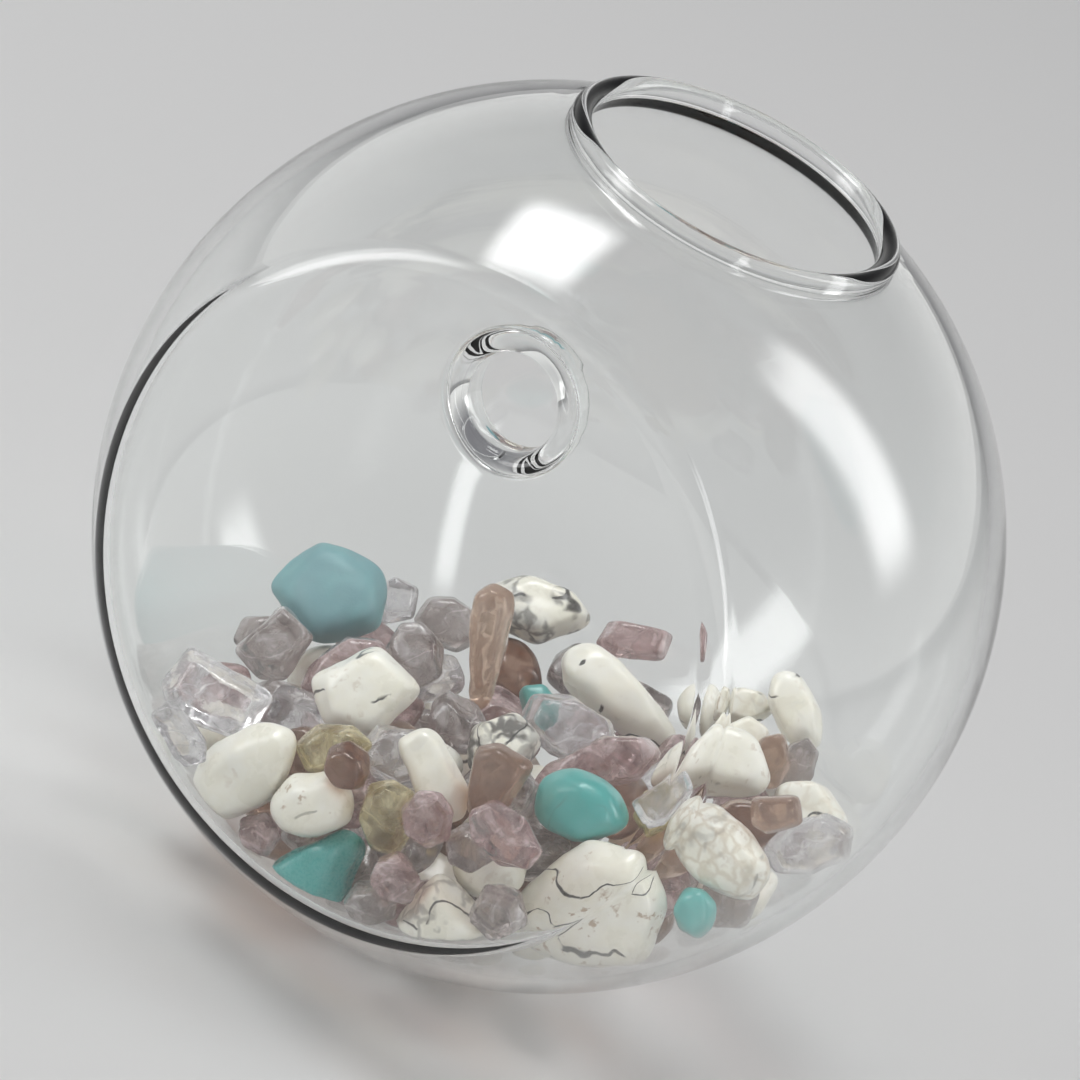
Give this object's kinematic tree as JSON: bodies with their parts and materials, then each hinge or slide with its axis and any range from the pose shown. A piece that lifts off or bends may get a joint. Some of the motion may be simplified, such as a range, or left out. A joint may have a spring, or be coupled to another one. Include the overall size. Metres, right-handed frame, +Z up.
{
  "type": "hanging wall vase",
  "caption": "Round blown-glass wall vase with a flat back, a rolled hanging hole and an open bead-lipped mouth, part filled with loose tumbled stones.",
  "frame": {"origin": "centre of the hanging hole's bore, on its axis, halfway along it", "axes": "+Y out of the flat back towards the wall, +Z up as the vase hangs, +X across"},
  "size_m": [0.12, 0.0997, 0.1182],
  "materials": {
    "glass": "clear, fire-polished",
    "howlite": "polished cream with dark hairline veins",
    "turquoise": "polished blue-green, slightly mottled",
    "rose_quartz": "polished translucent rose to mauve",
    "smoky_quartz": "polished translucent grey-brown",
    "clear_quartz": "polished clear to milky",
    "citrine": "polished olive to honey",
    "agate": "polished brown, faintly banded"
  },
  "bodies": {
    "vase": {"agate_bead": "agate", "agate_bed": "agate", "agate_fin": "agate", "agate_mauve": "agate", "agate_slab": "agate", "agate_sliver": "agate", "agate_tan": "agate", "citrine_nugget": "citrine", "citrine_olive": "citrine", "citrine_pale": "citrine", "clear_quartz_bed": "clear_quartz", "clear_quartz_block": "clear_quartz", "clear_quartz_far": "clear_quartz", "clear_quartz_lilac": "clear_quartz", "clear_quartz_long": "clear_quartz", "clear_quartz_oval": "clear_quartz", "clear_quartz_slice": "clear_quartz", "clear_quartz_striped": "clear_quartz", "glass_vessel": "glass", "howlite_bar": "howlite", "howlite_bean": "howlite", "howlite_bed": "howlite", "howlite_bit": "howlite", "howlite_cracked": "howlite", "howlite_curl": "howlite", "howlite_far": "howlite", "howlite_oval": "howlite", "howlite_pebble": "howlite", "howlite_slab": "howlite", "howlite_slim": "howlite", "howlite_taper": "howlite", "howlite_trapeze": "howlite", "howlite_wedge": "howlite", "rose_quartz_bead": "rose_quartz", "rose_quartz_bed": "rose_quartz", "rose_quartz_far": "rose_quartz", "rose_quartz_foot": "rose_quartz", "rose_quartz_oval": "rose_quartz", "rose_quartz_pear": "rose_quartz", "rose_quartz_plank": "rose_quartz", "rose_quartz_slab": "rose_quartz", "smoky_quartz_bean": "smoky_quartz", "smoky_quartz_bed": "smoky_quartz", "smoky_quartz_block": "smoky_quartz", "smoky_quartz_chip": "smoky_quartz", "smoky_quartz_far": "smoky_quartz", "smoky_quartz_foot": "smoky_quartz", "smoky_quartz_mauve": "smoky_quartz", "smoky_quartz_oval": "smoky_quartz", "smoky_quartz_slim": "smoky_quartz", "turquoise_bead": "turquoise", "turquoise_bean": "turquoise", "turquoise_block": "turquoise", "turquoise_sliver": "turquoise", "turquoise_wedge": "turquoise"},
    "howlite_rhomb": {"howlite_rhomb": "howlite"},
    "agate_spike": {"agate_spike": "agate"},
    "smoky_quartz_blue": {"smoky_quartz_blue": "smoky_quartz"},
    "howlite_marbled": {"howlite_marbled": "howlite"}
  },
  "joints": [
    {"name": "lift_howlite_rhomb", "type": "slide", "parent": "vase", "child": "howlite_rhomb", "axis": [0, 0, 1], "range_m": [0, 0.105]},
    {"name": "lift_agate_spike", "type": "slide", "parent": "vase", "child": "agate_spike", "axis": [0, 0, 1], "range_m": [0, 0.105]},
    {"name": "lift_smoky_quartz_blue", "type": "slide", "parent": "vase", "child": "smoky_quartz_blue", "axis": [0, 0, 1], "range_m": [0, 0.105]},
    {"name": "lift_howlite_marbled", "type": "slide", "parent": "vase", "child": "howlite_marbled", "axis": [0, 0, 1], "range_m": [0, 0.105]}
  ]
}
